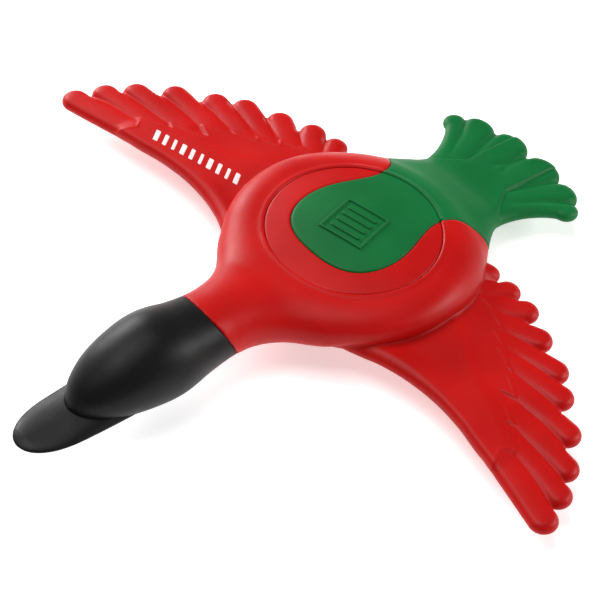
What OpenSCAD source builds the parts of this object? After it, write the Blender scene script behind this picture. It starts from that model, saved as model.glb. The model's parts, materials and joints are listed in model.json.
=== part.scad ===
// Soft rubber flying-duck throw toy: hollow round body with a squeaker, flexing
// wings, tail and neck, and a domed back that is squeezed to sound the squeaker.
// +Z is up, the bill faces -Y and the duck's left wing is on +X. The origin is on
// the floor under the centre of the round back.

/* [Body] */
// Radius of the round body
body_r = 52.5; // [50:0.5:53]
// How far the body's centre sits behind the centre of the back
body_back = 3; // [2:0.5:4]
// Height of the back at the groove around it
back_z = 30; // [29:0.5:31]
// Height of the body's widest point
waist_z = 20.5; // [19:0.5:22]
// Radius of the belly's flat resting face
belly_flat_r = 32; // [30:0.5:33]
// Thickness of the rubber walls
wall = 3; // [2.5:0.25:3.5]
// Height of the seam between the upper shell and the belly shell
seam_z = 9.5; // [9:0.25:10]

/* [Back] */
// Radius of the groove around the back
groove_r = 35.5; // [33:0.5:37]
// Rise of the domed back above the groove
back_rise = 3.4; // [2:0.2:4]
// Radius of the round front of the green saddle
saddle_r = 24.4; // [22:0.2:26]
// Half width of the green saddle where it crosses the groove
saddle_rear = 17.5; // [15:0.5:20]
// Side of the square badge
badge_side = 20.4; // [16:0.2:22]
// Angle by which the badge is turned
badge_turn = 12.2; // [0:0.2:20]

/* [Wings] */
// Distance of the wing's bending line from the middle of the body
wing_hinge_x = 57.5; // [56:0.25:58]
// Height of the middle of the wing at the bending line
wing_z = 13.4; // [13:0.1:14]
// Thickness of the wing
wing_t = 5.4; // [4.8:0.1:5.6]
// Angle by which the wing droops towards its tip
wing_droop = 0.8; // [0:0.1:3]
// Height of the crown on each feather
crown_h = 0.7; // [0.4:0.1:1]
// Thickness of the ink of the printed bars
ink_t = 0.2; // [0.1:0.05:0.3]

/* [Tail] */
// Distance of the tail's bending line from the centre of the back
tail_hinge_y = 60; // [59:0.5:61]
// Height of the middle of the tail at the bending line
tail_z = 14; // [13.5:0.1:14.5]
// Thickness of the tail at the bending line
tail_t = 9; // [8:0.25:9]
// Half width of the tail at its narrowest
tail_waist = 24.7; // [23:0.1:26]
// Angle by which the tail fan slopes down
tail_droop = 4; // [0:0.5:6]
// Thickness of the tail fan at its feathers
fan_t = 5.4; // [4.8:0.1:6]

/* [Neck and head] */
// Distance of the neck's bending line in front of the centre of the back
neck_y = 52; // [51:0.5:53]
// Height of the middle of the neck
neck_z = 21.6; // [21:0.1:22]
// Radius of the neck
neck_r = 14.8; // [14:0.1:15.5]
// Radius of the head at its widest
head_r = 18; // [17:0.1:18.5]
// Distance of the widest part of the head in front of the centre of the back
head_y = 101; // [98:1:103]
// Distance of the front of the hood in front of the centre of the back
hood_tip_y = 139; // [137:0.5:141]
// Distance of the colour seam on the neck at the height of its middle
collar_y = 73; // [72:0.5:75]
// Angle by which the colour seam leans back towards the throat
collar_lean = 28.8; // [20:0.1:32]
// Distance of the tip of the bill in front of the centre of the back
bill_tip_y = 163; // [160:0.5:165]
// Half width of the bill
bill_half_w = 13; // [12:0.25:13.5]
// Height of the middle of the bill
bill_z = 16.4; // [16:0.1:17]
// Thickness of the bill
bill_t = 7; // [6:0.25:8]

/* [Squeaker] */
// Distance of the squeaker behind the centre of the back
squeaker_y = 19; // [18:0.5:20]
// Outer radius of the squeaker's cup
cup_r = 11; // [9:0.5:12]
// Height of the squeaker's cup
cup_h = 9.6; // [8:0.2:11]
// Radius of the air hole in the squeaker's face
air_hole_r = 2; // [1.5:0.25:3]

/* [Hidden] */
$fn = 96;

red = [0.78, 0.09, 0.09];
green = [0.05, 0.45, 0.22];
black = [0.07, 0.07, 0.08];
ivory = [0.90, 0.88, 0.80];

// clearance between pieces that move past each other
gap = 0.3;
// radius of the round over the top of the body and of the round under it
top_round = back_z - waist_z;
low_round = body_r - belly_flat_r;
// sphere that the domed back is part of
back_sphere = (pow(groove_r, 2) + pow(back_rise, 2)) / (2 * back_rise);
// rounded edges that the bending pieces turn on
wing_knuckle = wing_t / 2 + 0.25;
tail_knuckle = tail_t / 2 + 0.3;
neck_knuckle = neck_r + 0.4;
// a length that reaches past the whole toy
reach = 200;

// Feathers, front to back: centre of the round tip, its radius and the feather's
// direction. The first eight are on the free wing and the last two on its base.
feathers = [
  [140.8, -31.8, 6.2, -14], [135.8, -19, 5.9, -8], [128.5, -8, 6, -4],
  [117.6, 4.2, 5.9, 1], [103.2, 14.2, 5.9, 6], [92.8, 21.6, 5.9, 14],
  [77.2, 28, 5.9, 24], [63.4, 34.2, 5.7, 42]];
base_feathers = [[51.5, 36.3, 5.5, 62], [39.8, 37, 4.8, 76]];
feather_len = 34;
crown_len = 15;
crown_inset = 2;

// Sections that are spun into the body and the head

module body_section(inset) {
  intersection() {
    translate([belly_flat_r, waist_z]) circle(low_round - inset);
    translate([belly_flat_r, inset]) square([reach, waist_z - inset]);
  }
  intersection() {
    translate([body_r - top_round, waist_z]) circle(top_round - inset);
    translate([body_r - top_round, waist_z]) square([reach, reach]);
  }
  translate([0, inset]) square([belly_flat_r, waist_z - inset]);
  translate([0, waist_z]) square([body_r - top_round, top_round - inset]);
}

module body_solid(inset = 0) {
  translate([0, body_back, 0])
    rotate_extrude() body_section(inset);
}

module hollow_body() {
  difference() {
    body_solid();
    body_solid(wall);
  }
}

// radius of the head and neck at a distance in front of the back
function head_radius(d) =
  d < head_y - 25 ? neck_r
  : d < head_y ? neck_r + (head_r - neck_r) * (0.5 - 0.5 * cos(180 * (d - head_y + 25) / 25))
  : head_r * sqrt(max(0, 1 - pow((d - head_y) / (hood_tip_y - head_y), 2)));

head_steps = [for (d = [neck_y : 3 : head_y + 24]) d];
nose_steps = [for (a = [40 : 7 : 82]) head_y + (hood_tip_y - head_y) * sin(a)];
head_rows = concat(head_steps, nose_steps);

module head_solid(inset = 0) {
  section = concat([[0, neck_y]],
    [for (d = head_rows) [max(0.5, head_radius(d) - inset), d]],
    [[0, hood_tip_y - inset * 2]]);
  translate([0, 0, neck_z])
    rotate([90, 0, 0])
      rotate_extrude() polygon(section);
}

// half space in front of the leaning colour seam of the neck
module front_of_collar() {
  translate([0, -collar_y, neck_z])
    rotate([collar_lean, 0, 0])
      translate([-reach / 2, -reach, -reach / 2]) cube([reach, reach, reach]);
}

// Flat outlines, seen from above

module saddle_outline() {
  translate([0, saddle_r - 21.6]) circle(saddle_r);
  polygon([[-saddle_r, 4], [saddle_r, 4], [saddle_rear, 31],
    [saddle_rear, groove_r + 1], [-saddle_rear, groove_r + 1], [-saddle_rear, 31]]);
}

module rump_outline() {
  polygon([[-saddle_rear, 28], [-saddle_rear, 31], [-20.4, 38.4], [-30, 46.5], [-30, 62],
    [30, 62], [30, 46.5], [20.4, 38.4], [saddle_rear, 31], [saddle_rear, 28]]);
}

module feather(f, inset = 0, length = feather_len) {
  translate([f[0], f[1]]) rotate(f[3]) {
    circle(f[2] - inset);
    translate([-length, inset - f[2]]) square([length, 2 * (f[2] - inset)]);
  }
}

// leading edge of the wing: one long hollow curve from the shoulder to the kink
edge_r = 135;
edge_x = 74;
edge_y = -25;

module wing_web() {
  difference() {
    polygon([[38, -37], [112.5, -34], [116, -24], [116, -14], [104, -4], [92, 6],
      [80, 14], [70, 24], [62, 30], [56, 36], [46, 37], [36, 37]]);
    translate([edge_x, edge_y - edge_r]) circle(edge_r, $fn = 360);
  }
}

module wing_outline() {
  wing_web();
  for (f = feathers) feather(f);
  for (f = base_feathers) feather(f, 0, 20);
}

module tail_outline() {
  lobes = [[9.6, 97.2, 9.8], [24.6, 94, 8.6], [32.9, 90.3, 5.6]];
  side_r = 38;
  web_y = tail_hinge_y - 2;
  web_half_w = 36;
  web_len = 32;
  difference() {
    translate([-web_half_w, web_y]) square([2 * web_half_w, web_len]);
    for (s = [-1, 1])
      translate([s * (tail_waist + side_r), web_y]) circle(side_r);
  }
  for (s = [-1, 1], lobe = lobes)
    translate([s * lobe[0], lobe[1]]) circle(lobe[2]);
}

// Body shells

// web that fills the corners between the round body and the neck
module shoulder() {
  fillet_r = 20;
  half_w = fillet_r + neck_r + 1;
  front_y = 2 - neck_y;
  web_len = 26;
  translate([0, 0, seam_z])
    linear_extrude(back_z - seam_z - 1) difference() {
      translate([-half_w, front_y]) square([2 * half_w, web_len]);
      for (s = [-1, 1])
        translate([s * half_w, front_y]) circle(fillet_r);
    }
}

module neck_stub() {
  root_y = 41;
  intersection() {
    translate([0, -root_y, neck_z]) rotate([90, 0, 0]) cylinder(r = neck_r, h = 40);
    union() {
      translate([-reach / 2, -neck_y, 0]) cube([reach, reach, reach]);
      translate([-reach / 2, -neck_y, neck_z])
        rotate([0, 90, 0]) cylinder(r = neck_knuckle, h = reach);
    }
  }
}

module upper_solid() {
  difference() {
    union() {
      body_solid();
      shoulder();
    }
    body_solid(wall);
    translate([-reach, -reach, seam_z - reach]) cube([2 * reach, 2 * reach, reach]);
    cylinder(r = groove_r, h = reach);
  }
}

module upper_body_shell() {
  color(red) difference() {
    union() {
      upper_solid();
      neck_stub();
    }
    translate([0, -30, neck_z]) rotate([90, 0, 0]) cylinder(r = neck_r - wall, h = 60);
    linear_extrude(reach) rump_outline();
  }
}

module belly_shell() {
  boss_r = cup_r + wall;
  boss_h = cup_h - 2;
  color(red) difference() {
    union() {
      intersection() {
        hollow_body();
        translate([-reach, -reach, 0]) cube([2 * reach, 2 * reach, seam_z]);
      }
      translate([0, squeaker_y, 0]) cylinder(r = boss_r, h = boss_h);
    }
    translate([0, squeaker_y, -1]) cylinder(r = cup_r, h = cup_h + 2);
    neck_stub();
  }
}

// Wings

module wing_crowns(list) {
  translate([0, 0, wing_t / 2])
    linear_extrude(crown_h)
      for (f = list) feather(f, crown_inset, crown_len);
}

module wing_slab() {
  translate([0, 0, -wing_t / 2]) linear_extrude(wing_t) wing_outline();
}

// places the wing's own level frame at the bending line, drooping outwards
module on_wing() {
  translate([wing_hinge_x, 0, wing_z])
    rotate([0, wing_droop, 0])
      translate([-wing_hinge_x, 0, 0]) children();
}

module wing_knuckle_rod(r) {
  translate([wing_hinge_x, -reach / 2, 0])
    rotate([-90, 0, 0]) cylinder(r = r, h = reach);
}

module wing_base() {
  difference() {
    translate([0, 0, wing_z]) {
      intersection() {
        wing_slab();
        union() {
          translate([0, -reach / 2, -reach / 2]) cube([wing_hinge_x, reach, reach]);
          wing_knuckle_rod(wing_knuckle);
        }
      }
      wing_crowns(base_feathers);
    }
    body_solid();
    shoulder();
    linear_extrude(reach) rump_outline();
  }
}

module free_wing() {
  on_wing() {
    difference() {
      wing_slab();
      translate([wing_hinge_x - reach, -reach / 2, -reach / 2]) cube([reach, reach, reach]);
      wing_knuckle_rod(wing_knuckle + gap);
    }
    wing_crowns([for (i = [0 : 6]) feathers[i]]);
  }
}

module left_wing_base() {
  color(red) wing_base();
}

module right_wing_base() {
  color(red) mirror([1, 0, 0]) wing_base();
}

module left_wing() {
  color(red) free_wing();
}

module right_wing() {
  color(red) mirror([1, 0, 0]) free_wing();
}

// Slanted white bars printed along the front of the right wing
bars = 9;
bar_pitch = 4.6;
module wing_print() {
  color("white") mirror([1, 0, 0]) on_wing()
    translate([64, -11, wing_t / 2]) rotate(-14)
      for (i = [0 : bars - 1])
        translate([i * bar_pitch, 0, 0]) rotate(-20)
          translate([0, -3, 0]) cube([1.6 + 0.4 * (i % 3), 6, ink_t]);
}

// Rump and tail

module tail_rod(r) {
  translate([-reach / 2, tail_hinge_y, tail_z]) rotate([0, 90, 0]) cylinder(r = r, h = reach);
}

module tail_stub() {
  intersection() {
    translate([-tail_waist, 42, tail_z - tail_t / 2])
      cube([2 * tail_waist, 30, tail_t]);
    union() {
      translate([-reach / 2, tail_hinge_y - reach, -reach / 2]) cube([reach, reach, reach]);
      tail_rod(tail_knuckle);
    }
  }
}

module rump() {
  color(green) {
    intersection() {
      upper_solid();
      linear_extrude(reach) rump_outline();
    }
    difference() {
      tail_stub();
      body_solid();
    }
  }
}

module tail_fan() {
  color(green) difference() {
    union() {
      translate([0, tail_hinge_y, tail_z])
        rotate([-tail_droop, 0, 0])
          translate([0, -tail_hinge_y, -fan_t / 2]) linear_extrude(fan_t) tail_outline();
      intersection() {
        translate([-tail_waist, tail_hinge_y, tail_z - tail_t / 2])
          cube([2 * tail_waist, 7, tail_t]);
        translate([0, 0, -reach / 2]) linear_extrude(reach) tail_outline();
      }
    }
    tail_rod(tail_knuckle + gap);
    translate([-reach / 2, tail_hinge_y - reach, -reach / 2]) cube([reach, reach, reach]);
  }
}

// Domed back

module back_dome(inset = 0) {
  rotate_extrude($fn = 240) intersection() {
    translate([0, back_z + back_rise - back_sphere])
      circle(back_sphere - inset, $fn = 720);
    translate([0, back_z - 2 * wall]) square([groove_r - gap, 4 * wall]);
  }
}

module back_cap() {
  difference() {
    back_dome();
    back_dome(wall);
  }
}

module back_disc() {
  color(red) difference() {
    back_cap();
    linear_extrude(reach) saddle_outline();
  }
}

// square tile that is let into the top of the saddle and stands a little proud of it
module tile(side, z, h) {
  translate([0, 0, z]) rotate(badge_turn)
    linear_extrude(h) square(side, center = true);
}

tile_floor_z = back_z + back_rise - 1;
tile_t = 1.6;

module back_saddle() {
  color(green) difference() {
    intersection() {
      back_cap();
      linear_extrude(reach) saddle_outline();
    }
    tile(badge_side, tile_floor_z, 2 * tile_t);
  }
}

module badge_plate() {
  border = 1.6;
  sunk = 0.4;
  color(green) difference() {
    tile(badge_side, tile_floor_z, tile_t);
    tile(badge_side - 2 * border, tile_floor_z + tile_t - sunk, tile_t);
  }
}

// Neck, head and bill

module neck_rod(r) {
  translate([-reach / 2, -neck_y, neck_z]) rotate([0, 90, 0]) cylinder(r = r, h = reach);
}

module head_shell() {
  difference() {
    head_solid();
    head_solid(wall);
    neck_rod(neck_knuckle + gap);
  }
}

module neck_sleeve() {
  color(red) difference() {
    head_shell();
    front_of_collar();
  }
}

module head_hood() {
  color(black) intersection() {
    head_shell();
    front_of_collar();
  }
}

module bill() {
  bill_back_y = 118;
  tip_y = bill_tip_y - bill_half_w;
  color(black) difference() {
    translate([0, 0, bill_z - bill_t / 2]) linear_extrude(bill_t) {
      translate([0, -tip_y]) circle(bill_half_w);
      translate([-bill_half_w, -tip_y]) square([2 * bill_half_w, tip_y - bill_back_y]);
    }
    head_solid();
  }
}

// Squeaker in the belly: cup with an air hole, vibrating reed and vented cap

cup_wall = 1.4;
cup_z = 0.6;
flange_z = cup_h - 2;

module squeaker_cup() {
  color(ivory) translate([0, squeaker_y, 0]) difference() {
    union() {
      translate([0, 0, cup_z]) cylinder(r = cup_r, h = cup_h - cup_z);
      translate([0, 0, flange_z]) cylinder(r = cup_r + 2, h = 2);
    }
    translate([0, 0, cup_z + cup_wall]) cylinder(r = cup_r - cup_wall, h = cup_h);
    translate([0, 0, -1]) cylinder(r = air_hole_r, h = 5);
  }
}

// The reed is held at its front end and its rear end lifts off the cup's floor
reed_w = 5;
reed_len = 14;
reed_t = 0.3;
reed_lift = 0.1;

module squeaker_reed() {
  color("silver") translate([-reed_w / 2, squeaker_y - reed_len / 2, cup_z + cup_wall + reed_lift])
    cube([reed_w, reed_len, reed_t]);
}

module squeaker_cap() {
  cap_t = 1.6;
  vents = 6;
  color(ivory) translate([0, squeaker_y, cup_h]) difference() {
    cylinder(r = cup_r + 1, h = cap_t);
    for (i = [0 : vents - 1])
      rotate(i * 360 / vents) translate([cup_r / 2, 0, -1]) cylinder(r = 1, h = cap_t + 2);
  }
}

upper_body_shell();
belly_shell();
left_wing_base();
right_wing_base();
left_wing();
right_wing();
wing_print();
rump();
tail_fan();
back_disc();
back_saddle();
badge_plate();
neck_sleeve();
head_hood();
bill();
squeaker_cup();
squeaker_reed();
squeaker_cap();
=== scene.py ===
import json
import math

import bpy
import numpy as np
from mathutils import Matrix, Vector


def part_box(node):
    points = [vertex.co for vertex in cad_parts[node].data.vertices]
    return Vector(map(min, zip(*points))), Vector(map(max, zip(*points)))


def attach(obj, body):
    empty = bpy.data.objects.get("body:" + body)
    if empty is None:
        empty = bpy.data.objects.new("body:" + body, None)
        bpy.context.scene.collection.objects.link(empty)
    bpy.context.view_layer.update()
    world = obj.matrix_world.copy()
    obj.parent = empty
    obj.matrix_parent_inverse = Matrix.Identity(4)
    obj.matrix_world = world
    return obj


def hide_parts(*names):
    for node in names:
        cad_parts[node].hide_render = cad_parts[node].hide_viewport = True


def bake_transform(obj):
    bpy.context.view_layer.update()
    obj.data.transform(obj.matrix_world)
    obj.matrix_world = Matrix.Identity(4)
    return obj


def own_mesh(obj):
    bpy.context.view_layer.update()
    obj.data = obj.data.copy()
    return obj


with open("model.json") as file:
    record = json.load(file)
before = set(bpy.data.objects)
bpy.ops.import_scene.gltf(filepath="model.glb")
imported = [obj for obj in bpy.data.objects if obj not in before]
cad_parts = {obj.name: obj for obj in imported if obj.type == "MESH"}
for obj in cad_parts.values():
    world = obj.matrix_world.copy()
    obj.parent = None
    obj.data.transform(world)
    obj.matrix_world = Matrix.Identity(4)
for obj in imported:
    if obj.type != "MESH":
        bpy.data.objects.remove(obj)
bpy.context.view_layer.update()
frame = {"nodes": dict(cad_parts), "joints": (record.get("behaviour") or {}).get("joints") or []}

# Every shape is a signed distance field in millimetres, in the frame's own axes, and is
# turned into metres when its mesh is made. +Z is up, the bill faces -Y, and the duck's
# left wing is on +X.
MM = 0.001


def box_mm(node):
    low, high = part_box(node)
    return np.array(low) / MM, np.array(high) / MM


def pivot_mm(joint_name):
    joint = next(j for j in frame["joints"] if j["name"] == joint_name)
    return np.array(joint["pos_m"]) / MM


# ------------------------------------------------------------------ sizes from the frame

disc_low, disc_high = box_mm("back_disc")
cup_low, cup_high = box_mm("squeaker_cup")
CUP_R = (cup_high[0] - cup_low[0]) / 2
CUP_Y = (cup_low[1] + cup_high[1]) / 2

# Where the red upper half meets the belly
SEAM_Z = box_mm("belly_shell")[1][2]
# The round groove, and the top of the squeezable back inside it
RING_R = disc_high[0] + 0.3
BACK_TOP = box_mm("back_saddle")[1][2]
# The dome's height over its own edge
BACK_RISE = 3.4
BACK_Z = BACK_TOP - BACK_RISE
BACK_SPHERE = (RING_R ** 2 + BACK_RISE ** 2) / (2 * BACK_RISE)

WING_X, _, WING_Z = pivot_mm("left_wing_bend")
NECK_Z = pivot_mm("neck_bend")[2]
HOOD_FRONT = -139.6
BILL_TIP = box_mm("bill")[0][1]

# Half the narrow gap between the skins of two colours, on the body and on the back
COLOUR_GAP = 0.06
BACK_GAP = 0.04
# A distance that is well inside every piece, where a cut doesn't apply
INSIDE = -60.0

# ------------------------------------------------------------------ distance field tools


def smooth_min(a, b, k):
    """Union of two fields with a fillet about k wide."""
    h = np.clip(0.5 + 0.5 * (b - a) / k, 0, 1)
    return b * (1 - h) + a * h - k * h * (1 - h)


def smooth_max(a, b, k):
    """Intersection of two fields with its edge rounded over about k."""
    return -smooth_min(-a, -b, k)


def along(x, y, a, b):
    """How far along from a (0) to b (1) a point lies in plan, kept between them."""
    dx, dy = b[0] - a[0], b[1] - a[1]
    return np.clip(((x - a[0]) * dx + (y - a[1]) * dy) / (dx * dx + dy * dy), 0, 1)


def segment(x, y, a, b):
    """Distance to the segment a-b in plan."""
    share = along(x, y, a, b)
    dx, dy = b[0] - a[0], b[1] - a[1]
    return np.hypot(x - a[0] - share * dx, y - a[1] - share * dy)


def chain(x, y, points):
    """Distance to an open line of points in plan."""
    distance = segment(x, y, points[0], points[1])
    for a, b in zip(points[1:-1], points[2:]):
        distance = np.minimum(distance, segment(x, y, a, b))
    return distance


def polygon(x, y, points):
    """Signed distance to a closed outline in plan, negative inside."""
    closed = list(points) + [points[0]]
    distance = chain(x, y, closed)
    inside = np.zeros(np.shape(x + y), bool)
    for (ax, ay), (bx, by) in zip(closed[:-1], closed[1:]):
        if ay != by:
            crossing = (ay > y) != (by > y)
            inside ^= crossing & (x < (bx - ax) * (y - ay) / (by - ay) + ax)
    return np.where(inside, -distance, distance)


def smooth_line(points, steps=6):
    """Points along a Catmull-Rom curve through the given ones."""
    p = [np.array(q, float) for q in points]
    p = [2 * p[0] - p[1]] + p + [2 * p[-1] - p[-2]]
    curve = []
    for a, b, c, d in zip(p, p[1:], p[2:], p[3:]):
        for t in np.arange(steps) / steps:
            curve.append(0.5 * (2 * b + (c - a) * t + (2 * a - 5 * b + 4 * c - d) * t ** 2
                                + (3 * b - a - 3 * c + d) * t ** 3))
    return [tuple(q) for q in curve] + [tuple(p[-2])]


def ramp(value, start, end):
    """0 before start, 1 after end, and smooth between them."""
    t = np.clip((value - start) / (end - start), 0, 1)
    return t * t * (3 - 2 * t)


# ------------------------------------------------------------------ meshes from fields


def crossings(values, axis):
    """Where the surface crosses the grid's edges along one axis."""
    first = np.take(values, range(values.shape[axis] - 1), axis)
    second = np.take(values, range(1, values.shape[axis]), axis)
    crossed = (first < 0) != (second < 0)
    share = np.where(crossed, first / np.where(crossed, first - second, 1), 0)
    return crossed, share, first < 0


def surface_net(values):
    """One vertex in each cell that the surface passes through, and the quads between."""
    cells = tuple(n - 1 for n in values.shape)
    count = np.zeros(cells)
    total = np.zeros(cells + (3,))
    found = []
    for axis in range(3):
        crossed, share, inward = crossings(values, axis)
        found.append((crossed, inward))
        sides = [a for a in range(3) if a != axis]
        for step_a in (0, 1):
            for step_b in (0, 1):
                cut = [slice(None)] * 3
                cut[sides[0]] = slice(step_a, step_a + cells[sides[0]])
                cut[sides[1]] = slice(step_b, step_b + cells[sides[1]])
                hit = crossed[tuple(cut)]
                count += hit
                total[..., axis] += np.where(hit, share[tuple(cut)], 0)
                total[..., sides[0]] += hit * step_a
                total[..., sides[1]] += hit * step_b
    active = count > 0
    index = np.full(cells, -1)
    index[active] = np.arange(active.sum())
    where = np.argwhere(active)
    points = where + total[active] / count[active][:, None]
    quads = []
    for axis in range(3):
        crossed, inward = found[axis]
        a, b = [s for s in range(3) if s != axis]
        inner = [slice(None)] * 3
        inner[a] = slice(1, -1)
        inner[b] = slice(1, -1)
        at = np.argwhere(crossed[tuple(inner)])
        at[:, a] += 1
        at[:, b] += 1
        back_a, back_b = np.zeros(3, int), np.zeros(3, int)
        back_a[a], back_b[b] = 1, 1
        ring = [at, at - back_a, at - back_a - back_b, at - back_b]
        quad = np.stack([index[tuple(r.T)] for r in ring], 1)
        flip = inward[tuple(at.T)] ^ (axis == 1)
        quad[~flip] = quad[~flip][:, ::-1]
        quads.append(quad)
    return points, np.concatenate(quads)


def settle(points, field, cell, rounds=3):
    """Moves the vertices onto the true surface along the field's slope."""
    h = 0.02
    for _ in range(rounds):
        value = field(*points.T)
        slope = np.stack([(field(*(points + h * e).T) - value) / h for e in np.eye(3)], 1)
        size = np.maximum((slope ** 2).sum(1), 0.05)
        move = -value[:, None] * slope / size[:, None]
        reach = np.linalg.norm(move, axis=1)
        move *= np.minimum(1, 0.6 * cell / np.maximum(reach, 1e-9))[:, None]
        points = points + move
    return points


def piece(name, field, low, high, cell, material):
    """A smooth closed mesh of the field's surface inside the box low-high."""
    axes = [np.arange(a, b + cell, cell) for a, b in zip(low, high)]
    values = field(*np.meshgrid(*axes, indexing="ij", sparse=True))
    values = np.broadcast_to(values, [len(a) for a in axes])
    points, quads = surface_net(values)
    points = settle(points * cell + np.array(low), field, cell)
    mesh = bpy.data.meshes.new(name)
    mesh.vertices.add(len(points))
    mesh.vertices.foreach_set("co", (points * MM).astype(np.float32).ravel())
    mesh.loops.add(quads.size)
    mesh.loops.foreach_set("vertex_index", quads.astype(np.int32).ravel())
    mesh.polygons.add(len(quads))
    mesh.polygons.foreach_set("loop_start", np.arange(0, quads.size, 4, dtype=np.int32))
    mesh.update(calc_edges=True)
    mesh.validate()
    mesh.shade_smooth()
    mesh.materials.append(material)
    obj = bpy.data.objects.new(name, mesh)
    bpy.context.scene.collection.objects.link(obj)
    return obj


# ------------------------------------------------------------------ materials


def rubber(name, deep, pale, roughness, grain=0.25):
    """Moulded rubber: uneven pigment, a fine matt grain, rubbed patches and tiny pits."""
    made = bpy.data.materials.new(name)
    made.use_nodes = True
    nodes, links = made.node_tree.nodes, made.node_tree.links
    shader = nodes["Principled BSDF"]
    shader.inputs["IOR"].default_value = 1.5
    shader.inputs["Specular IOR Level"].default_value = 0.17
    place = nodes.new("ShaderNodeTexCoord").outputs["Object"]

    def noise(scale, detail, rough=0.5):
        node = nodes.new("ShaderNodeTexNoise")
        node.inputs["Scale"].default_value = scale
        node.inputs["Detail"].default_value = detail
        node.inputs["Roughness"].default_value = rough
        links.new(place, node.inputs["Vector"])
        return node.outputs["Fac"]

    def spread(source, low, high, to_low=0.0, to_high=1.0):
        node = nodes.new("ShaderNodeMapRange")
        for key, value in (("From Min", low), ("From Max", high),
                           ("To Min", to_low), ("To Max", to_high)):
            node.inputs[key].default_value = value
        links.new(source, node.inputs["Value"])
        return node.outputs["Result"]

    def sum_of(a, b):
        node = nodes.new("ShaderNodeMath")
        node.operation = "ADD"
        links.new(a, node.inputs[0])
        links.new(b, node.inputs[1])
        return node.outputs[0]

    clouds = noise(38, 4)
    mix = nodes.new("ShaderNodeMix")
    mix.data_type = "RGBA"
    links.new(spread(clouds, 0.3, 0.7), mix.inputs["Factor"])
    mix.inputs["A"].default_value = (*deep, 1)
    mix.inputs["B"].default_value = (*pale, 1)
    links.new(mix.outputs["Result"], shader.inputs["Base Color"])

    rubbed = spread(noise(55, 5, 0.6), 0.35, 0.7, roughness - 0.05, roughness + 0.05)
    fine = spread(noise(900, 2), 0.3, 0.7, -0.02, 0.02)
    links.new(sum_of(rubbed, fine), shader.inputs["Roughness"])

    pits = nodes.new("ShaderNodeTexVoronoi")
    pits.inputs["Scale"].default_value = 95
    links.new(place, pits.inputs["Vector"])
    pit_depth = spread(pits.outputs["Distance"], 0.0, 0.045, -1.5, 0.0)
    relief = sum_of(sum_of(spread(noise(2600, 2), 0.3, 0.7, 0, grain),
                           spread(noise(300, 3), 0.3, 0.7, 0, grain)), pit_depth)
    bump = nodes.new("ShaderNodeBump")
    bump.inputs["Strength"].default_value = 0.3
    bump.inputs["Distance"].default_value = 0.00025
    links.new(relief, bump.inputs["Height"])
    links.new(bump.outputs["Normal"], shader.inputs["Normal"])
    return made


RED = rubber("red_rubber", (0.42, 0.003, 0.003), (0.50, 0.005, 0.004), 0.43)
GREEN = rubber("green_rubber", (0.0015, 0.112, 0.024), (0.003, 0.142, 0.032), 0.5)
BLACK = rubber("black_rubber", (0.004, 0.004, 0.0045), (0.007, 0.007, 0.0075), 0.44)
INK = rubber("white_ink", (0.80, 0.68, 0.67), (0.88, 0.78, 0.77), 0.55, grain=0.5)
PLASTIC = rubber("squeaker_plastic", (0.72, 0.69, 0.60), (0.80, 0.78, 0.70), 0.38)
FILM = rubber("reed_film", (0.62, 0.65, 0.68), (0.72, 0.74, 0.76), 0.25)

# ------------------------------------------------------------------ body, neck and tail


def profile(y, stations):
    """A smooth value along Y from a few (y, value) stations."""
    curve = smooth_line(stations)
    return np.interp(y, [p[0] for p in curve], [p[1] for p in curve])


def oval(x, up, half_w, half_h):
    """Distance-like field of an oval section, negative inside."""
    k0 = np.sqrt((x / half_w) ** 2 + (up / half_h) ** 2)
    k1 = np.sqrt((x / half_w ** 2) ** 2 + (up / half_h ** 2) ** 2)
    return k0 * (k0 - 1) / np.maximum(k1, 1e-6)


# The rim and the bowl have a round plan and a soft section, which is widest at widest_z,
# starts to curve in at `curved` inside the radius, and ends above and below by those
# heights. The last factor makes the field about a distance.


def rim(x, y, z):
    """The soft rim around the back: tight at the front and sloping at the rear."""
    rear = ramp(y, 2, 36)
    widest_z = 21.5 - 6.0 * rear
    radius = 52.0 + 2.3 * rear
    curved = 11.5 + 8.5 * rear
    above, below = BACK_Z - widest_z, 8.5
    out = np.maximum(np.hypot(x, y) - radius + curved, 0) / curved
    up = (z - widest_z) / np.where(z > widest_z, above, below)
    return (np.sqrt(out ** 2 + up ** 2) - 1) * 9


def bowl(x, y, z):
    """The round belly with its flat resting face."""
    centre_y, widest_z, radius, curved = 5, 14.0, 49.5, 18.5
    above, below = 10, widest_z
    out = np.maximum(np.hypot(x, y - centre_y) - radius + curved, 0) / curved
    up = (z - widest_z) / np.where(z > widest_z, above, below)
    return (np.sqrt(out ** 2 + up ** 2) - 1) * 13


# The neck and head from the front of the hood to the body, as (y, value) stations. The
# width is given as the square of the half width, which rounds the nose with few stations.
NECK_WIDTH = ((-142, -20), (-139.6, 0), (-138, 25), (-135, 67), (-130, 136), (-124, 207),
              (-118, 258), (-111, 302), (-104, 335), (-98, 343), (-92, 320), (-86, 276),
              (-79, 246), (-73, 230), (-69, 236), (-63, 268), (-57, 355), (-52, 490),
              (-48, 660), (-44, 880), (-40, 1060), (-34, 1150), (-20, 1100))
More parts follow.
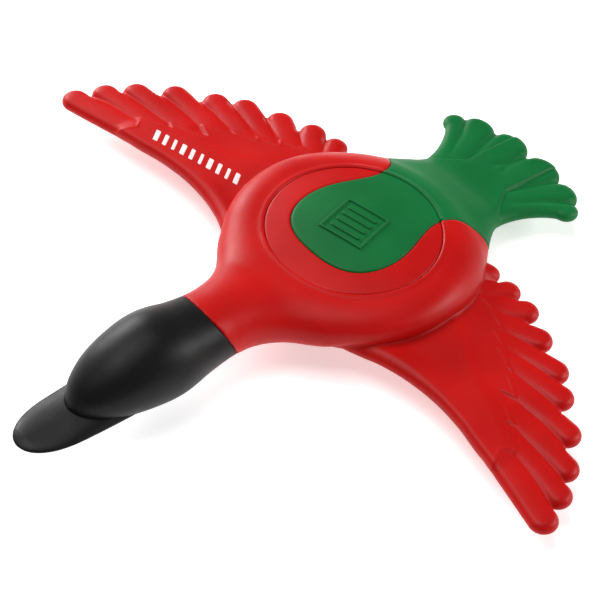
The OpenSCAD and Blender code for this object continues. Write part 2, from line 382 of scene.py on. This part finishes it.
# The heights of its top and of its underside
HEAD_TOP = ((-142, 18), (-139.6, 20.5), (-138, 23.5), (-135, 27.2), (-130, 31), (-124, 34.6),
            (-118, 37.2), (-111, 39.2), (-104, 40.2), (-98, 39.9), (-92, 38.7), (-86, 37.1),
            (-79, 35.8), (-72, 35.2), (-64, 34.8), (-56, 33.6), (-48, 31.8), (-40, 30.4),
            (-30, 29.6), (-20, 29))
HEAD_LOW = ((-142, 18), (-139.6, 17.5), (-138, 15), (-135, 13.2), (-130, 11.2), (-124, 9.4),
            (-118, 7.8), (-111, 6.3), (-104, 5.4), (-98, 5.3), (-90, 6.2), (-80, 7.4),
            (-70, 8.2), (-60, 8.6), (-50, 8.6), (-40, 8.2), (-20, 8))


def head_and_neck(x, y, z):
    """One long soft form from the shoulders to the front of the hood."""
    rear_end = -24
    half_w = np.sqrt(np.maximum(profile(y, NECK_WIDTH), 0.02))
    top, low = profile(y, HEAD_TOP), profile(y, HEAD_LOW)
    half_h = np.maximum((top - low) / 2, 0.15)
    form = oval(x, z - (top + low) / 2, half_w, half_h)
    return np.maximum(form, np.maximum(y - rear_end, HOOD_FRONT - y))


# Half of the tail, mirrored. Its feather tips: x, y and radius
TAIL_LOBES = ((9.6, 97.2, 9.8), (24.6, 94.0, 8.6), (32.9, 90.3, 5.6))
# The tail's side edge, as (y, half width)
TAIL_SIDE = ((20, 27), (40, 27), (47, 26.6), (53, 24.8), (58, 23.3), (63, 23.2), (70, 24.8),
             (76, 27.4), (82, 31.2), (87, 35.5), (92, 36))
# Notches between the feather tips, and the creases that run in from them
TAIL_NOTCHES = [(0, 101.2), (18.8, 101.2), (32.2, 95.9)]
TAIL_CREASES = (
    ((0, 101), (0, 94), (0.6, 88), (2.6, 83.5)),
    ((18.7, 101.5), (17, 94.5), (14.4, 86.5), (12.4, 79.5), (11.6, 76)),
    ((32.2, 96.2), (29.6, 91.8), (25.4, 86), (22, 79.3), (18.5, 73)))
# Edge of the raised rump where the outer tail feathers start
TAIL_STEP = ((11.6, 76), (14, 71), (17.4, 66.4), (20, 63), (24, 59.5))
# The heights of the tail's top and underside, as (y, value)
TAIL_TOP = ((30, 17), (42, 19.4), (50, 20.8), (56, 20.5), (63, 18.7), (70, 17.5), (80, 16.6),
            (92, 15.2), (110, 13.4))
TAIL_LOW = ((34, 9), (50, 9.2), (60, 9.4), (70, 10), (80, 10.2), (92, 9.6), (110, 8.4))


def tail_outline(x, y):
    side = np.abs(x)
    edge = [(width, at_y) for at_y, width in smooth_line(TAIL_SIDE, 3)]
    web = polygon(side, y, [(-60, 27)] + edge + TAIL_NOTCHES[::-1] + [(-60, 101.2)])
    for lobe_x, lobe_y, lobe_r in TAIL_LOBES:
        web = smooth_min(web, np.hypot(side - lobe_x, y - lobe_y) - lobe_r, 0.7)
    return web


def crease(x, y, line, deep, shallow, width):
    """Depth of a soft valley that runs from the edge (deep) to its inner end (shallow)."""
    share = along(x, y, line[0], line[-1])
    depth = deep + (shallow - deep) * share
    near = chain(x, y, smooth_line(line, 3)) / width
    return depth * np.exp(-near ** 1.5)


def pillow(outline, up, half, round_w):
    """A plate whose edge rounds off over round_w, like a soft moulded pad."""
    out = np.maximum(outline + round_w, 0) / round_w
    return (np.sqrt(out ** 2 + (up / half) ** 2) - 1) * half


def tail_plate(x, y, z):
    """The tail: a thick root that thins to soft padded feathers with creases between."""
    side = np.abs(x)
    step_height = 1.0
    valley = 0.0
    for line in TAIL_CREASES:
        valley = np.maximum(valley, crease(side, y, line, 1.7, 0.5, 1.7))
    behind_step = polygon(side, y, TAIL_STEP + ((60, 59), (60, 120), (11.6, 120)))
    drop = step_height * ramp(behind_step, 0.5, -0.7) * np.exp(np.minimum(behind_step, 0) / 9)
    top = profile(y, TAIL_TOP) - valley - drop
    low = profile(y, TAIL_LOW) + 0.3 * valley
    round_w = 9 - 5.0 * ramp(y, 55, 85)
    return pillow(tail_outline(x, y), z - (top + low) / 2, (top - low) / 2, round_w)


def torso(x, y, z):
    """Body, neck and the root of the tail as one soft surface."""
    tail_root_y = 36
    body = smooth_min(rim(x, y, z), bowl(x, y, z), 2.5)
    body = smooth_min(body, head_and_neck(x, y, z), 5)
    body = smooth_min(body, np.maximum(tail_plate(x, y, z), tail_root_y - y), 7)
    # The raised lip of the groove, on the top only
    lip = 0.4 * np.exp(-((np.hypot(x, y) - RING_R - 1.0) / 0.9) ** 2)
    return body - lip * (z > 24)


# Right half of the edge of the green back and rump, from its front point to the tail
GREEN_EDGE = ((0, -22.9), (7.5, -22.3), (14.5, -20), (19.6, -16), (23, -10), (24.5, -2.5),
              (24, 5), (22.2, 12), (19.7, 19), (18, 25), (17.5, 30), (18.1, 34), (19.7, 38),
              (22.6, 41), (26.5, 43.9), (31, 46.6), (38, 50), (46, 54))


def green_region(x, y):
    """Plan distance to the green part of the toy, negative inside it."""
    edge = smooth_line(GREEN_EDGE, 4)
    outline = edge + [(46, 130), (-46, 130)] + [(-px, py) for px, py in edge[:0:-1]]
    return polygon(x, y, outline)


def ring_well(x, y, z):
    """The round seat that the domed back sits in, a little deeper than the back."""
    seat_z = disc_low[2] - 0.5
    return np.maximum(np.hypot(x, y) - RING_R, seat_z - z)


def collar(x, y, z):
    """Positive in front of the leaning colour seam of the neck."""
    seam_y, lean = -73.0, math.radians(24.5)
    return -(y - seam_y) * math.cos(lean) - (z - NECK_Z) * math.sin(lean)


# In front of NECK_START and behind TAIL_START the upper skins close round the neck and the
# tail. Between them they stop at the seam with the belly.
NECK_START, TAIL_START = -42, 54


def upper_red(x, y, z):
    shape = smooth_max(torso(x, y, z), COLOUR_GAP - green_region(x, y), 0.7)
    shape = smooth_max(shape, -ring_well(x, y, z), 0.45)
    shape = smooth_max(shape, collar(x, y, z), 0.5)
    return smooth_max(shape, np.where(y < NECK_START, INSIDE, SEAM_Z - z), 0.5)


def lower_red(x, y, z):
    """The belly, with the round hole that shows the squeaker's cup and the cup's seat."""
    shape = smooth_max(bowl(x, y, z), z - SEAM_Z + 0.05, 0.5)
    lip, seat_z = 1.9, 7.5
    from_cup = np.hypot(x, y - CUP_Y)
    hole = from_cup - CUP_R + lip
    seat = np.maximum(from_cup - CUP_R - 0.1, seat_z - z)
    return smooth_max(smooth_max(shape, -hole, 0.6), -seat, 0.2)


def green_tail(x, y, z):
    shape = smooth_max(torso(x, y, z), green_region(x, y) + COLOUR_GAP, 0.7)
    shape = smooth_max(shape, RING_R - np.hypot(x, y), 0.7)
    return np.maximum(shape, np.where(y < TAIL_START, SEAM_Z - z, INSIDE))


def back_cap(x, y, z):
    """Distance to the large sphere that the dome's top is part of."""
    return np.sqrt(x * x + y * y + (z - BACK_TOP + BACK_SPHERE) ** 2) - BACK_SPHERE


def back_dome(x, y, z):
    """The whole squeezable back, just clear of the groove's outer wall."""
    side = np.hypot(x, y) - RING_R + 0.09
    return np.maximum(smooth_max(back_cap(x, y, z), side, 0.5), disc_low[2] - z)


def red_back(x, y, z):
    return smooth_max(back_dome(x, y, z), BACK_GAP - green_region(x, y), 0.7)


def green_back(x, y, z):
    raised = 0.2
    return smooth_max(back_dome(x, y, z - raised), green_region(x, y) + BACK_GAP, 0.9)


# ------------------------------------------------------------------ badge

BADGE_HALF = 10.2
FRAME_WIDTH = 1.2
RIB_PITCH, RIB_REACH, RIB_RADIUS = 3.9, 6.0, 1.1
# Heights of the frame and ribs, and of the tile between them, over the dome
BADGE_HIGH, BADGE_LOW = 0.85, 0.15
# How deep the tile goes into the dome
BADGE_DEPTH = 1.0


def badge(x, y, z):
    """A thin framed square tile with four plain ribs, turned on the saddle."""
    turn = math.radians(12.2)
    u = x * math.cos(turn) + y * math.sin(turn)
    v = -x * math.sin(turn) + y * math.cos(turn)
    square = np.maximum(np.abs(u), np.abs(v)) - BADGE_HALF
    cap = back_cap(x, y, z)
    frame_top = smooth_max(-square - FRAME_WIDTH, cap - BADGE_HIGH, 0.3)
    row = np.clip(np.round(v / RIB_PITCH - 0.5) + 0.5, -1.5, 1.5) * RIB_PITCH
    rib = np.hypot(np.maximum(np.abs(u) - RIB_REACH, 0), v - row) - RIB_RADIUS
    rib_top = smooth_max(rib, cap - BADGE_HIGH, 0.5)
    top = smooth_min(smooth_min(frame_top, cap - BADGE_LOW, 0.25), rib_top, 0.3)
    return np.maximum(smooth_max(square, top, 0.4), -cap - BADGE_DEPTH)


# ------------------------------------------------------------------ head and bill


def black_head(x, y, z):
    return smooth_max(head_and_neck(x, y, z), -collar(x, y, z) + 0.05, 0.5)


# The bill as (y, value) stations: the square of its half width, its ridge and its edge
BILL_WIDTH = ((-163, 0), (-161.5, 22), (-159, 52), (-155.5, 88), (-151, 122),
              (-145, 149), (-137, 163), (-128, 174), (-118, 182), (-110, 185))
BILL_TOP = ((-163, 17.8), (-156, 18.1), (-148, 18.6), (-138, 19.6), (-128, 20.6), (-110, 21.8))
BILL_EDGE = ((-163, 16.2), (-140, 15.4), (-110, 14.5))


def bill_shape(x, y, z):
    """A broad flat spatula with a soft ridge along its top and a thin round edge."""
    rear_end, under = -113, 2.2
    half_w = np.sqrt(np.maximum(profile(y, BILL_WIDTH), 0.02))
    edge_z = profile(y, BILL_EDGE)
    share = np.minimum(np.abs(x) / half_w, 3)
    thin = np.sqrt(np.clip((y - BILL_TIP) / 4, 0.01, 1))
    rise = (profile(y, BILL_TOP) - edge_z) * thin
    up = np.where(z > edge_z, (z - edge_z) / rise, (z - edge_z) / (under * thin))
    form = (share ** 1.6 + np.abs(up) ** 2) ** 0.5 - 1
    return np.maximum(form * 3, np.maximum(y - rear_end, BILL_TIP - y))


# ------------------------------------------------------------------ wings

# Round feather tips from the front to the body: centre, radius and direction in degrees
FEATHERS = (
    (140.6, -31.2, 6.0, -14), (135.8, -19.0, 6.0, -8), (128.5, -8.0, 6.1, -4),
    (117.6, 4.4, 6.0, 1), (103.4, 15.0, 6.0, 6), (93.0, 22.7, 6.0, 14),
    (77.7, 29.2, 6.0, 24), (63.9, 35.6, 5.8, 42), (52.0, 37.5, 5.6, 62),
    (40.2, 38.2, 5.0, 76))
# Notches between the feather tips, from the front to the body
NOTCHES = ((138.9, -24.6), (133.5, -12.8), (122.5, -0.7), (109.3, 10.2), (99.1, 19.3),
           (82.2, 25.2), (69.4, 32.2), (57.7, 37.4), (45.5, 38))
# The leading edge from the shoulder to the kink where the first feather starts
LEADING_EDGE = ((24, -34), (33, -35.2), (42, -32.2), (50, -28.9), (62, -26), (76, -24.8),
                (90, -26), (102, -28.6), (112.5, -30.2))
# Inner ends of the creases that start at the notches
CREASE_ENDS = (((126, -21.5), (112.5, -19.2)), ((119, -11.4), (101, -11)),
               ((109, 0), (90, -1.5)), ((96, 9.4), (83, 7)), ((86, 16.8), (73.5, 12.8)),
               ((75, 22.4), (66, 18)), ((64, 28.4), (58, 24)), ((52, 31), (47, 25)),
               ((43, 33), (41, 27)))
# The toothed edge of the smooth covert layer
COVERT = ((30, -60), (113, -60), (113.5, -31), (109.5, -23), (112.5, -19.4), (100.5, -11.4),
          (103.5, -9.8), (88, -2.6), (94.5, 0), (82, 7.6), (85, 7.8), (73, 12.6),
          (75, 14), (65, 17.8), (67.5, 20.4), (57.5, 24), (59, 25), (46, 26), (30, 26))
# The soft crest along the arm of the wing
CREST = ((44, 15), (52, 10), (60, 4.5), (75, -3), (90, -9), (104, -15), (112, -19))
# Edge of the raised arm of the wing, along the crest
ARM = CREST + ((118, -60), (30, -60), (30, 20))
WING_SLOPE = math.tan(math.radians(0.8))
# Half thicknesses of the wing, up and down, before the relief
WING_UP, WING_DOWN = 2.2, 2.5
# Heights on its top: the coverts, the arm, the feathers' crowns and the arm's crest
COVERT_H, ARM_H, CROWN_H, CREST_H = 0.8, 0.8, 0.8, 0.25
# Near the body, the leading edge is rolled up and has a shallow hollow behind it
ROLL_H, HOLLOW_H = 0.5, 0.35


def feather_axes():
    """The centre line and radius of each feather, as (tip, inner end, radius)."""
    for cx, cy, r, turn in FEATHERS:
        a = math.radians(turn)
        length = 30 if cx > 60 else 14
        yield (cx, cy), (cx - length * math.cos(a), cy - length * math.sin(a)), r


def wing_outline(x, y):
    root = [(36, 37), (28, 28), (26, -10)]
    shape = polygon(x, y, smooth_line(LEADING_EDGE) + list(NOTCHES) + root)
    for tip, inner, r in feather_axes():
        shape = smooth_min(shape, segment(x, y, tip, inner) - r, 1.2)
    return shape


def wing_relief(x, y):
    """Height of the wing's top over its flat level: feathers, coverts, arm and edge."""
    crown = 0.0
    for tip, inner, r in feather_axes():
        crown = np.maximum(crown, 1 - (segment(x, y, tip, inner) / r) ** 2)
    valley = 0.0
    for notch, ends in zip(NOTCHES, CREASE_ENDS):
        valley = np.maximum(valley, crease(x, y, (notch,) + ends, 1.2, 0.05, 1.3))
    covert = polygon(x, y, COVERT)
    layer = (COVERT_H * ramp(covert, 0.9, -0.7)
             + ARM_H * ramp(polygon(x, y, ARM), 3.2, -2.2))
    crest = CREST_H * np.exp(-(chain(x, y, CREST) / 7.0) ** 2) * ramp(x, 118, 100)
    from_edge = chain(x, y, LEADING_EDGE[1:])
    roll = np.exp(-((from_edge - 4.5) / 3.2) ** 2) * ramp(x, 90, 45)
    hollow = np.exp(-((from_edge - 13) / 5.5) ** 2) * ramp(x, 80, 48)
    feathers = (CROWN_H * crown - valley) * ramp(covert, -1.5, 1.0)
    return layer + feathers + crest + ROLL_H * roll - HOLLOW_H * hollow


def wing_shape(x, y, z):
    side = np.abs(x)
    middle = WING_Z - WING_SLOPE * (side - WING_X)
    relief = wing_relief(side, y)
    top = WING_UP + relief
    low = -WING_DOWN - 0.3 * np.minimum(relief, 0)
    round_w = 4.4 - 1.6 * ramp(side, 50, 80)
    outline = wing_outline(side, y)
    return pillow(outline, z - middle - (top + low) / 2, (top - low) / 2, round_w)


def wing_field(sign):
    """A wing with a fillet where it leaves the body, hidden in it further in."""
    inner_x = 37

    def field(x, y, z):
        hidden = smooth_min(rim(x, y, z), bowl(x, y, z), 2.5) + 0.5
        wing = smooth_min(wing_shape(x, y, z), hidden, 2.4)
        return np.maximum(wing, inner_x - sign * x - 0.25 * np.abs(y))

    return field


def ink_field(x, y, z):
    """Slanted bars printed along the front of the right wing, following its surface."""
    turn, pitch, half_height, corner = math.radians(14), 4.6, 2.4, 0.5
    out, back = -x - 64, y + 11  # from the first bar
    u = out * math.cos(turn) - back * math.sin(turn)
    v = out * math.sin(turn) + back * math.cos(turn)
    slant = u - 0.36 * v
    number = np.clip(np.round(slant / pitch), -1, 8)
    width = 0.8 + 0.2 * (number % 3)
    bar = np.hypot(np.maximum(np.abs(slant - number * pitch) - width + corner, 0),
                   np.maximum(np.abs(v) - half_height, 0)) - corner
    surface = wing_shape(x, y, z)
    film = np.maximum(np.maximum(surface - 0.1, -surface - 0.25), WING_Z - z)
    return smooth_max(bar, film, 0.08)


# ------------------------------------------------------------------ build the pieces

# Each one has its field, the box that it is looked for in, and its mesh's cell, all in mm

body = piece("upper_body_skin", upper_red, (-57, -85, 5), (57, 57, 40), 0.75, RED)
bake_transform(body)
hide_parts("upper_body_shell", "neck_sleeve")

belly = piece("belly_skin", lower_red, (-52, -45, -2), (52, 60, 12), 0.8, RED)
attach(belly, "body")
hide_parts("belly_shell")

tail = piece("tail_skin", green_tail, (-44, 26, 4), (44, 110, 34), 0.55, GREEN)
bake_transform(tail)
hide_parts("rump", "tail_fan")

back_red = piece("back_disc_skin", red_back, (-37, -37, 25.5), (37, 37, 35), 0.55, RED)
back_green = piece("back_saddle_skin", green_back, (-26, -24, 25.5), (26, 37, 36), 0.5,
                   GREEN)
for skin, node in ((back_red, "back_disc"), (back_green, "back_saddle")):
    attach(skin, "body")
    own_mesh(skin)
    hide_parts(node)

tile = piece("badge_tile", badge, (-15, -15, 31), (15, 15, 36), 0.22, GREEN)
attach(tile, "back")
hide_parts("badge_plate")

hood = piece("head_skin", black_head, (-22, -143, 2), (22, -60, 44), 0.6, BLACK)
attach(hood, "head")
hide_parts("head_hood")

beak = piece("bill_skin", bill_shape, (-16, -166, 9), (16, -114, 25), 0.4, BLACK)
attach(beak, "head")
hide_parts("bill")

for side, sign in (("left", 1), ("right", -1)):
    low = (26, -46, 5) if sign > 0 else (-150, -46, 5)
    high = (150, 46, 22) if sign > 0 else (-26, 46, 22)
    wing = piece(side + "_wing_skin", wing_field(sign), low, high, 0.5, RED)
    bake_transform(wing)
    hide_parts(side + "_wing", side + "_wing_base")

bars = piece("wing_bars", ink_field, (-108, -32, 10), (-53, 0, 20), 0.25, INK)
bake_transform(bars)
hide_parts("wing_print")

for node, material in (("squeaker_cup", PLASTIC), ("squeaker_cap", PLASTIC),
                       ("squeaker_reed", FILM)):
    for held in frame["nodes"][node].material_slots:
        held.material = material

# ------------------------------------------------------------------ floor, light, camera


def plain(name, color, roughness):
    made = bpy.data.materials.new(name)
    made.use_nodes = True
    shader = made.node_tree.nodes["Principled BSDF"]
    shader.inputs["Base Color"].default_value = (*color, 1)
    shader.inputs["Roughness"].default_value = roughness
    return made


FLOOR_SIZE = 30
bpy.ops.mesh.primitive_plane_add(size=FLOOR_SIZE, location=(0, 0, -0.0002))
floor = bpy.context.object
floor.name = "floor"
table = plain("floor", (0.92, 0.92, 0.92), 0.9)
# A little light of its own keeps the floor evenly white
glow = table.node_tree.nodes["Principled BSDF"].inputs
glow["Emission Color"].default_value = (1, 1, 1, 1)
glow["Emission Strength"].default_value = 0.55
floor.data.materials.append(table)

world = bpy.data.worlds.new("studio")
world.use_nodes = True
world.node_tree.nodes["Background"].inputs["Color"].default_value = (1, 1, 1, 1)
world.node_tree.nodes["Background"].inputs["Strength"].default_value = 0.12
bpy.context.scene.world = world


def softbox(name, place, target, size, power):
    lamp = bpy.data.lights.new(name, "AREA")
    lamp.shape = "RECTANGLE"
    lamp.size, lamp.size_y = size
    lamp.energy = power
    obj = bpy.data.objects.new(name, lamp)
    obj.location = place
    obj.rotation_mode = "QUATERNION"
    obj.rotation_quaternion = (Vector(target) - Vector(place)).to_track_quat("-Z", "Y")
    bpy.context.scene.collection.objects.link(obj)


softbox("top", (-0.3, -0.3, 1.45), (0, 0, 0.02), (1.0, 1.0), 16)
softbox("left", (-1.1, 0.1, 0.44), (0, 0, 0.02), (0.6, 0.45), 13)
softbox("right", (0.75, 0.85, 0.52), (0, 0, 0.02), (0.6, 0.45), 9.5)

# The photograph's viewing angle
AZIMUTH, ELEVATION, ROLL = (math.radians(a) for a in (44.86, 46.69, 6.0))
TARGET = Vector((0.00448, -0.03025, 0.012))
DISTANCE = 0.85
back = Vector((math.sin(AZIMUTH) * math.cos(ELEVATION),
               -math.cos(AZIMUTH) * math.cos(ELEVATION), math.sin(ELEVATION)))
right = Vector((math.cos(AZIMUTH), math.sin(AZIMUTH), 0))
up = back.cross(right)
across = math.cos(ROLL) * right + math.sin(ROLL) * up
upright = -math.sin(ROLL) * right + math.cos(ROLL) * up
lens = bpy.data.cameras.new("camera")
lens.sensor_width = 36
lens.lens = 129.7
camera = bpy.data.objects.new("camera", lens)
camera.matrix_world = Matrix.Translation(TARGET + back * DISTANCE) @ Matrix(
    (across, upright, back)).transposed().to_4x4()
bpy.context.scene.collection.objects.link(camera)
bpy.context.scene.camera = camera
bpy.context.scene.view_settings.view_transform = "Standard"
